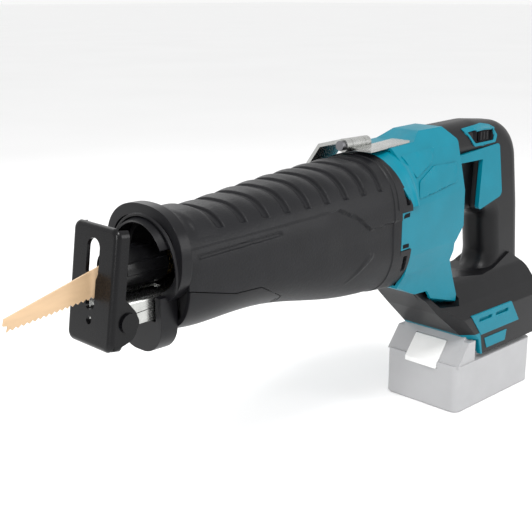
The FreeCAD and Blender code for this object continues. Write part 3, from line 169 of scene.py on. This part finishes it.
def angle_shading():
    """Smooth faces, with a sharp edge wherever two faces meet at more than SHARP_ANGLE."""
    group = bpy.data.node_groups.new("angle_shading", "GeometryNodeTree")
    group.interface.new_socket("Geometry", in_out="INPUT", socket_type="NodeSocketGeometry")
    group.interface.new_socket("Geometry", in_out="OUTPUT", socket_type="NodeSocketGeometry")
    nodes, links = group.nodes, group.links
    start, end = nodes.new("NodeGroupInput"), nodes.new("NodeGroupOutput")
    faces = nodes.new("GeometryNodeSetShadeSmooth")
    edges = nodes.new("GeometryNodeSetShadeSmooth")
    edges.domain = "EDGE"
    angle = nodes.new("GeometryNodeInputMeshEdgeAngle")
    gentle = nodes.new("FunctionNodeCompare")
    gentle.operation = "LESS_EQUAL"
    gentle.inputs[1].default_value = math.radians(SHARP_ANGLE)
    links.new(angle.outputs["Unsigned Angle"], gentle.inputs[0])
    links.new(gentle.outputs["Result"], edges.inputs["Shade Smooth"])
    links.new(start.outputs["Geometry"], faces.inputs["Geometry"])
    links.new(faces.outputs["Geometry"], edges.inputs["Geometry"])
    links.new(edges.outputs["Geometry"], end.inputs["Geometry"])
    return group


ANGLE_SHADING = angle_shading()


def soften(obj, width, segments=2, limit=30):
    """Welds the facets, rounds the sharp edges a little and shades the rest smoothly."""
    obj.modifiers.new("weld", "WELD").merge_threshold = WELD_DISTANCE
    if width:
        bevel = obj.modifiers.new("bevel", "BEVEL")
        bevel.width = width
        bevel.segments = segments
        bevel.limit_method = "ANGLE"
        bevel.angle_limit = math.radians(limit)
        bevel.use_clamp_overlap = True
        bevel.miter_outer = "MITER_ARC"
    shade = obj.modifiers.new("shade", "NODES")
    shade.node_group = ANGLE_SHADING
    weighted = obj.modifiers.new("weighted", "WEIGHTED_NORMAL")
    weighted.keep_sharp = True


EDGE_WIDTHS = {
    "motor_housing_left": 0.9, "motor_housing_right": 0.9, "handle_left": 0.6, "handle_right": 0.6,
    "nose_guard": 0.9, "lower_cover": 0.7, "shoe": 0.6, "shoe_support": 0.4, "clamp_sleeve": 0.5,
    "pack_case_lower": 0.7, "pack_case_upper": 0.7, "release_button": 0.8, "trigger": 1.2,
    "trigger_panel_left": 0.5, "trigger_panel_right": 0.5, "lock_frame_left": 0.5,
    "lock_frame_right": 0.5, "vent_panel_left": 0.5, "vent_panel_right": 0.5, "foot_trim": 0.5,
    "foot_badges": 0.3, "grip_strip": 0.6, "belt_hook": 0.4, "hook_plate": 0.3, "blade": 0.1,
    "lock_off_button": 0.3, "shoe_release_button": 0.5, "shoe_pivot_pins": 0.5, "hook_pin": 0.3,
    "plunger_rod": 0.3, "housing_screws": 0.25,
}
slots = {s["node"]: s["material_slot"] for s in frame["record"]["subparts"]}
for name, obj in NODES.items():
    obj.data.materials.clear()
    obj.data.materials.append(SLOT_MATERIALS[slots[name]])
    soften(obj, EDGE_WIDTHS.get(name, 0.2) * MM)


# ---- tools for new pieces -------------------------------------------------------------------
def cad_surface(*names):
    """The surface of some CAD nodes, in millimetres, to cast rays at."""
    points, faces = [], []
    for name in names:
        mesh = NODES[name].data
        start = len(points)
        points += [v.co * 1000 for v in mesh.vertices]
        faces += [[start + i for i in f.vertices] for f in mesh.polygons]
    return BVHTree.FromPolygons(points, faces)


def add_piece(name, points, faces, material, body, slot):
    """A new mesh piece from points in millimetres."""
    mesh = bpy.data.meshes.new(name)
    mesh.from_pydata([Vector(p) * MM for p in points], [], faces)
    mesh.validate()
    work = bmesh.new()
    work.from_mesh(mesh)
    bmesh.ops.remove_doubles(work, verts=work.verts, dist=1e-6)
    bmesh.ops.recalc_face_normals(work, faces=work.faces)
    work.to_mesh(mesh)
    work.free()
    obj = bpy.data.objects.new(name, mesh)
    bpy.context.collection.objects.link(obj)
    obj.data.materials.append(material)
    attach(obj, body)
    return obj


def rounded(outline, radius, steps=5):
    """The outline's corners rounded off."""
    out = []
    for i, corner in enumerate(outline):
        corner = Vector(corner)
        before = Vector(outline[i - 1]) - corner
        after = Vector(outline[(i + 1) % len(outline)]) - corner
        cut = min(radius, before.length * 0.45, after.length * 0.45)
        a, b = corner + before.normalized() * cut, corner + after.normalized() * cut
        for k in range(steps + 1):
            t = k / steps
            out.append(a * (1 - t) ** 2 + corner * 2 * t * (1 - t) + b * t * t)
    return out


def resampled(outline, step):
    """The outline with points about a step apart."""
    out = []
    for i, a in enumerate(outline):
        b = outline[(i + 1) % len(outline)]
        count = max(1, int((b - a).length / step))
        out += [a.lerp(b, k / count) for k in range(count)]
    return out


def inside(point, outline):
    """Whether the point lies inside the closed outline."""
    x, y = point
    odd = False
    for i, a in enumerate(outline):
        b = outline[i - 1]
        if (a[1] > y) != (b[1] > y) and x < (b[0] - a[0]) * (y - a[1]) / (b[1] - a[1]) + a[0]:
            odd = not odd
    return odd


def surface_patch(
    name, outline, surface, material, body, slot, side=1, rise=0.8, sink=0.6, radius=1.5,
    step=1.6, edge=0.35, hole=None,
):
    """A plate that follows a CAD surface seen from the side: the outline is in x and z, in millimetres."""
    ring = resampled(rounded(outline, radius), step)
    points = list(ring)
    edges = [(i, (i + 1) % len(ring)) for i in range(len(ring))]
    if hole:
        inner = resampled(rounded(hole, radius * 0.6), step)
        start = len(points)
        points += inner
        edges += [(start + i, start + (i + 1) % len(inner)) for i in range(len(inner))]
    border = list(points)
    xs, zs = [p.x for p in ring], [p.y for p in ring]
    for i in range(int((max(xs) - min(xs)) / step) + 1):
        for k in range(int((max(zs) - min(zs)) / step) + 1):
            q = Vector((min(xs) + (i + 0.5) * step, min(zs) + (k + 0.5) * step))
            near = min((q - r).length for r in border)
            if near > step * 0.6 and inside(q, ring) and not (hole and inside(q, inner)):
                points.append(q)
    flat, _, faces, *_ = delaunay_2d_cdt(points, edges, [], 0, 1e-5)
    keep = []
    for f in faces:
        middle = sum((flat[i] for i in f), Vector((0, 0))) / len(f)
        if inside(middle, ring) and not (hole and inside(middle, inner)):
            keep.append(f)
    solid = []
    for q in flat:
        hit, *_ = surface.ray_cast(Vector((q.x, side * 90, q.y)), Vector((0, -side, 0)), 120)
        if hit is None:
            hit, *_ = surface.find_nearest(Vector((q.x, side * 30, q.y)))
            hit = Vector((q.x, hit.y, q.y))
        solid.append(hit)
    ys = np.array([h.y for h in solid])
    for _ in range(3):
        total, count = ys.copy(), np.ones(len(ys))
        for f in keep:
            for a, b in zip(f, [*f[1:], f[0]]):
                total[a] += ys[b]
                total[b] += ys[a]
                count[a] += 1
                count[b] += 1
        ys = np.where(np.abs(total / count - ys) < 0.25, total / count, ys)
    top = [Vector((q.x, y + side * rise, q.y)) for q, y in zip(flat, ys)]
    obj = add_piece(name, top, keep, material, body, slot)
    if obj.data.polygons[0].normal.y * side < 0:
        obj.data.flip_normals()
    thick = obj.modifiers.new("thickness", "SOLIDIFY")
    thick.thickness = (rise + sink) * MM
    thick.offset = -1
    soften(obj, edge * MM, 2, 50)
    return obj


def both_sides(name, outline, surface, *args, **options):
    """The same plate on the left and on the right."""
    return [
        surface_patch(f"{name}_{word}", outline, surface, *args, side=side, **options)
        for word, side in (("left", 1), ("right", -1))
    ]


def smooth_step(value):
    """0 below 0 and 1 above 1, with a smooth rise between."""
    t = np.clip(value, 0, 1)
    return t * t * (3 - 2 * t)


# ---- rubber boot ----------------------------------------------------------------------------
BOOT_LOW, BOOT_HIGH = (p * 1000 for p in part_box("rubber_boot"))
COVER_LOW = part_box("lower_cover")[0] * 1000
NOSE_X, TAB_X = BOOT_HIGH.x, BOOT_LOW.x
SEAM_X = TAB_X + 12.5
FLAP_X = COVER_LOW.x if COVER_LOW.x > SEAM_X else NOSE_X - 81
SPINE_Z = (BOOT_LOW.z + BOOT_HIGH.z) / 2 + 1
STROKE_Z = BOOT_HIGH.z - 46
NOTCH_LOW, NOTCH_HIGH = STROKE_Z - 22.5, STROKE_Z + 6
RIBS = 9
RIB_X, RIB_PITCH = NOSE_X - 33, 18.1  # rear wall of the foremost groove, and the next ones behind it
RIB_DEPTH = 1.5
FLAP_LINE = ((20, -13.2), (-1, -13.2), (-37, -21.7), (-59, -22.2), (-81, -33.8))
SHOULDER_LINE = ((143, 0.6), (145.3, 1.6), (176.7, -0.5), (188.6, 9.3), (208, 18.6), (260, 15.7), (338, 12.6))


def flap_z(x):
    """The upper edge of the lower cover, by x."""
    xs = [NOSE_X + dx for dx, _ in reversed(FLAP_LINE)]
    return np.interp(x, xs, [STROKE_Z + dz for _, dz in reversed(FLAP_LINE)])


def near_segment(x, z, a, b):
    """Distance to the segment a-b, and how far along it."""
    ax, az = a
    dx, dz = b[0] - ax, b[1] - az
    t = np.clip(((x - ax) * dx + (z - az) * dz) / (dx * dx + dz * dz), 0, 1)
    return np.hypot(x - ax - t * dx, z - az - t * dz), t


def boot_relief(x, z):
    """How far the moulded relief stands out of the boot's plain surface, in millimetres."""
    out = np.zeros_like(x)
    for i in range(RIBS):
        rear = RIB_X - RIB_PITCH * i
        end = STROKE_Z + 20.2 + 0.45 * i
        forward = x - rear
        above = smooth_step((z - end) / 1.6)
        groove = smooth_step((forward + 0.7) / 0.7) * (1 - smooth_step((forward - 3.4) / 2.6))
        out -= RIB_DEPTH * groove * above
        land = np.clip((forward - 6.0) / (RIB_PITCH - 6.8), 0, 1)
        out += 0.7 * np.sin(np.pi * land) * smooth_step((z - end - 2) / 12)
    collar = smooth_step((x - NOSE_X + 27) / 2) * (1 - smooth_step((x - NOSE_X + 12) / 3))
    out += 1.6 * collar * smooth_step((z - STROKE_Z - 17) / 10)
    shoulder = np.interp(x, [p[0] for p in SHOULDER_LINE], [STROKE_Z + p[1] for p in SHOULDER_LINE])
    below = smooth_step((shoulder - z) / 0.9)
    depth = 0.7 + 1.1 * smooth_step((222 - x) / 20) * smooth_step((x - 143) / 12)
    out -= depth * below * (1 - smooth_step((STROKE_Z - 8 - z) / 22))
    away, _ = near_segment(x, z, (NOSE_X - 9, STROKE_Z + 7), (NOSE_X - 75, STROKE_Z + 10.6))
    out -= 0.9 * (1 - smooth_step((away - 0.9) / 0.6))
    away, along = near_segment(x, z, (175.8, STROKE_Z - 20), (198, STROKE_Z - 36.5))
    out += 1.0 * (1 - smooth_step((away - 1.6 * (1 - along)) / 1.2)) * (1 - along * 0.7)
    lip = 1 - smooth_step((x - 151) / 0.8)
    out += 0.7 * lip
    away = np.abs(x - 147.5)
    out -= 0.7 * (1 - smooth_step((away - 0.5) / 0.6)) * smooth_step((z - STROKE_Z - 7) / 2)
    return out


def tab_relief(x, z):
    """The same for the boot's two rear tabs, each with a slot through its side."""
    out = np.full_like(x, 0.7)
    for x0, x1, z0, z1 in (
        (TAB_X + 3.2, TAB_X + 7.6, NOTCH_HIGH + 4.5, NOTCH_HIGH + 17),
        (TAB_X + 3.2, TAB_X + 7.6, NOTCH_LOW - 17, NOTCH_LOW - 4.5),
    ):
        lean = (z - (z0 + z1) / 2) * 0.12
        across = smooth_step((x - x0 - lean) / 0.5) * smooth_step((x1 - x + lean) / 0.5)
        out -= 2.9 * across * smooth_step((z - z0) / 0.6) * smooth_step((z1 - z) / 0.6)
    return out


BODY = cad_surface("rubber_boot", "lower_cover")


def boot_point(x, angle):
    """The boot's plain surface in a direction from the spine; the angle is 0 upward and grows to the left."""
    out = Vector((0, math.sin(angle), math.cos(angle)))

    def cast(at):
        hit, *_ = BODY.ray_cast(Vector((at, 0, SPINE_Z)) + out * 120, -out)
        return Vector((x, hit.y, hit.z))

    if x >= SEAM_X:
        return cast(min(max(x, SEAM_X + 0.5), NOSE_X - 0.1)), out
    near, far = cast(SEAM_X + 0.5), cast(SEAM_X + 12.5)
    return near + (near - far) * (SEAM_X - x) / 12, out


def angle_at(x, z, low, high):
    """The angle at which the surface passes the height z."""
    for _ in range(18):
        middle = (low + high) / 2
        if boot_point(x, middle)[0].z > z:
            low = middle
        else:
            high = middle
    return (low + high) / 2


def boot_sheet(xs, limits, columns, relief):
    """Rows of relief-carrying surface points, and the faces between them."""
    points, faces = [], []
    for x in xs:
        first, last = limits(x)
        for k in range(columns + 1):
            angle = first + (last - first) * k / columns
            points.append(boot_point(x, angle))
    plain = np.array([p for p, _ in points])
    outward = np.array([o for _, o in points])
    grown = plain + outward * relief(plain[:, 0], plain[:, 2])[:, None]
    width = columns + 1
    for i in range(len(xs) - 1):
        for k in range(columns):
            a = i * width + k
            faces.append([a, a + 1, a + width + 1, a + width])
    return grown, faces


def boot_stations():
    """Where the boot's rows of points stand, closer together at each groove and lip."""
    xs = set(np.round(np.arange(SEAM_X, NOSE_X + 0.01, 1.5), 2)) | {FLAP_X, NOSE_X}
    for i in range(RIBS):
        rear = RIB_X - RIB_PITCH * i
        xs |= {rear - 0.8, rear - 0.55, rear - 0.3, rear, rear + 3.4, rear + 4.4, rear + 5.2, rear + 6.0}
    xs |= {146.4, 146.8, 147.2, 147.8, 148.2, 148.6, 151.0, 151.3, 151.6, 151.9}
    return sorted(x for x in xs if SEAM_X <= x <= NOSE_X)


def half_circle(angle):
    """From the angle on the right side, over the top, to the same angle on the left."""
    return lambda x: (-angle(x), angle(x))


stations = boot_stations()
front = boot_sheet(
    [x for x in stations if x >= FLAP_X],
    half_circle(lambda x: angle_at(x, flap_z(x) + 0.35, 0, math.pi)), 230, boot_relief,
)
rear = boot_sheet([x for x in stations if x <= FLAP_X], lambda x: (-math.pi, math.pi), 300, boot_relief)
tab_xs = list(np.linspace(TAB_X, SEAM_X, 30))
upper = boot_sheet(tab_xs, half_circle(lambda x: angle_at(x, NOTCH_HIGH, 0, math.pi)), 200, tab_relief)
lower = boot_sheet(
    tab_xs,
    lambda x: (angle_at(x, NOTCH_LOW, 0, math.pi), 2 * math.pi - angle_at(x, NOTCH_LOW, 0, math.pi)),
    160, tab_relief,
)
points, faces = [], []
for sheet_points, sheet_faces in (front, rear, upper, lower):
    start = len(points)
    points += [Vector(p) for p in sheet_points]
    faces += [[start + i for i in f] for f in sheet_faces]
boot = add_piece("boot_skin", points, faces, BOOT, "tool", "boot_rubber")
thickness = boot.modifiers.new("thickness", "SOLIDIFY")
thickness.thickness = 2.4 * MM
thickness.offset = -1
shade = boot.modifiers.new("shade", "NODES")
shade.node_group = ANGLE_SHADING
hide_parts("rubber_boot")


# ---- teal collar behind the boot ------------------------------------------------------------
def collar_edge(z):
    """How far forward the collar reaches over the boot, by height."""
    return np.interp(z, [NOTCH_HIGH, NOTCH_HIGH + 19, BOOT_HIGH.z - 6], [TAB_X - 1.5, TAB_X + 9, TAB_X + 14])


def collar_sheet(columns=150, rows=16, rear=TAB_X - 8.0):
    """Points and faces of a ridged sheet that laps over the boot's rear edge."""
    angle = angle_at(TAB_X, NOTCH_HIGH + 2.5, 0, math.pi)
    points, faces = [], []
    for i in range(rows + 1):
        for k in range(columns + 1):
            turn = angle * (2 * k / columns - 1)
            at, out = boot_point(TAB_X, turn)
            front = float(collar_edge(at.z))
            x = rear + (front - rear) * i / rows
            at, out = boot_point(x, turn)
            ridge = 1.1 * math.exp(-((i / rows - 0.38) / 0.16) ** 2)
            points.append(at + out * (1.0 + ridge - 0.5 * (i / rows) ** 6))
    for i in range(rows):
        for k in range(columns):
            a = i * (columns + 1) + k
            faces.append([a, a + 1, a + columns + 2, a + columns + 1])
    return points, faces


collar = add_piece("housing_collar", *collar_sheet(), TEAL, "tool", "teal_plastic")
collar_depth = collar.modifiers.new("thickness", "SOLIDIFY")
collar_depth.thickness = 2.2 * MM
collar_depth.offset = -1
soften(collar, 0.5 * MM, 2, 50)


# ---- motor housing --------------------------------------------------------------------------
HOUSING = cad_surface("motor_housing_left", "motor_housing_right")
TEAL_PATCH = (TEAL, "tool", "teal_plastic")
SHADE_PATCH = (SLOT_SHADE, "tool", "black_plastic")
SLOT_LEANS = {"upper": (3.4, 0.4), "lower": (2.6, -0.4)}  # heights of each slot's rear corners
both_sides("housing_shoulder", [(127, 223), (85.3, 225.5), (93, 214.8), (119, 206.7)],
           HOUSING, *TEAL_PATCH, rise=0.9, edge=0.5)
both_sides("housing_flank", [(119, 191.5), (62, 196), (59, 211), (92, 212.2), (116, 204)],
           HOUSING, *TEAL_PATCH, rise=0.8, edge=0.5)
# Thin dark plates in the notch corners: painted shade where the slots are.
for word, slot_z in (("upper", NOTCH_HIGH - 4.6), ("lower", NOTCH_LOW + 1.6)):
    both_sides(f"notch_slot_{word}",
               [(141.4, slot_z), (141.4, slot_z + 3.0), (132.6, slot_z + SLOT_LEANS[word][0]),
                (132.6, slot_z + SLOT_LEANS[word][1])],
               HOUSING, *SHADE_PATCH, rise=0.08, radius=0.4, edge=0)


# ---- nose and plunger -----------------------------------------------------------------------
def lathe(name, profile, centre_z, material, body, slot, turns=64, start=0.0, sweep=2 * math.pi):
    """A turned piece round the stroke axis, from (x, radius) points."""
    closed = abs(sweep - 2 * math.pi) < 1e-6
    count = turns if closed else turns + 1
    points, faces = [], []
    for k in range(count):
        angle = start + sweep * k / turns
        for x, radius in profile:
            points.append((x, radius * math.sin(angle), centre_z + radius * math.cos(angle)))
    width = len(profile)
    for k in range(turns):
        a, b = k * width, (k + 1) % count * width
        for j in range(width):
            nxt = (j + 1) % width
            faces.append([a + j, a + nxt, b + nxt, b + j])
    if not closed:
        faces += [list(range(width)), list(range((count - 1) * width, count * width))]
    obj = add_piece(name, points, faces, material, body, slot)
    soften(obj, 0.25 * MM, 2, 40)
    return obj


SLEEVE_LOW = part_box("clamp_sleeve")[0] * 1000
ROD_BACK = SLEEVE_LOW.x - 6.8
lathe("rod_collar", [(ROD_BACK, 7.6), (ROD_BACK, 9.9), (ROD_BACK + 4.2, 9.9), (ROD_BACK + 6.5, 8.6),
                     (ROD_BACK + 6.5, 7.6)], STROKE_Z, BRONZE, "plunger", "bronze")
lathe("mouth_brow", [(NOSE_X + 1, 26.5), (NOSE_X + 12.5, 25.0), (NOSE_X + 13.5, 26.2), (NOSE_X + 1, 29.5)],
      STROKE_Z + 1, SATIN, "tool", "black_plastic", start=-1.15, sweep=2.25)
lathe("ring_edge", [(NOSE_X + 7.6, 33.6), (NOSE_X + 9.0, 32.4), (NOSE_X + 9.0, 31.2), (NOSE_X + 7.0, 30.6)],
      STROKE_Z - 2, SATIN, "tool", "black_plastic", start=-1.9, sweep=3.8)


# ---- handle ---------------------------------------------------------------------------------
HANDLE = cad_surface("handle_left", "handle_right", "lock_frame_left", "lock_frame_right")
frame_outline = [(36.5, 233.5), (7, 235.5), (-5.5, 233.4), (-10.8, 224.6), (-8.5, 218.8), (21.5, 217.8)]
window_outline = [(31, 230.2), (9, 232), (-2.4, 231.2), (-6.2, 225), (-5.2, 220.9), (20.5, 220.4),
                  (24.5, 223.6)]
for word, side in (("left", 1), ("right", -1)):
    window = surface_patch(f"lock_window_{word}", frame_outline, HANDLE, TEAL, "tool", "teal_plastic",
                           side=side, rise=0.9, hole=window_outline, edge=0.4)
    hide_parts(f"lock_frame_{word}")
# A dark, dull plate on the window's floor: painted shade in the recess.
both_sides("window_floor_shade", window_outline, HANDLE, SLOT_SHADE, "tool", "black_plastic", rise=0.1, edge=0)


# ---- stage ----------------------------------------------------------------------------------
FLOOR_REACH = 30.0
corners = [(-FLOOR_REACH, -FLOOR_REACH, 0), (FLOOR_REACH, -FLOOR_REACH, 0),
           (FLOOR_REACH, FLOOR_REACH, 0), (-FLOOR_REACH, FLOOR_REACH, 0)]
floor_mesh = bpy.data.meshes.new("floor")
floor_mesh.from_pydata(corners, [], [(0, 1, 2, 3)])
floor = bpy.data.objects.new("floor", floor_mesh)
bpy.context.collection.objects.link(floor)
floor.data.materials.append(finish_material("floor", (0.93, 0.93, 0.93), 0.7, vary=0.01, patch=0.5,
                                            grain=0.05, bump=0.0, rough_vary=0.02))

world = bpy.data.worlds.new("studio")
world.use_nodes = True
world.node_tree.nodes["Background"].inputs["Color"].default_value = (1, 1, 1, 1)
world.node_tree.nodes["Background"].inputs["Strength"].default_value = 0.95
bpy.context.scene.world = world
bpy.context.scene.view_settings.view_transform = "Standard"


def softbox(name, place, aim, size, power):
    """A rectangular studio light at a place, turned to what it lights."""
    data = bpy.data.lights.new(name, "AREA")
    data.shape = "RECTANGLE"
    data.size, data.size_y = size
    data.energy = power
    light = bpy.data.objects.new(name, data)
    light.location = place
    light.rotation_mode = "QUATERNION"
    light.rotation_quaternion = (Vector(aim) - Vector(place)).to_track_quat("-Z", "Y")
    bpy.context.collection.objects.link(light)


softbox("key", (0.55, 0.5, 1.15), (0.2, 0, 0.15), (0.4, 0.3), 9)
softbox("side", (-0.45, 1.0, 0.55), (0.15, 0, 0.15), (0.3, 0.7), 4)
softbox("front", (1.25, 0.35, 0.5), (0.3, 0, 0.15), (0.2, 0.6), 5)
softbox("back", (0.0, -1.0, 0.8), (0.15, 0, 0.15), (0.9, 0.6), 3)

bpy.context.view_layer.update()
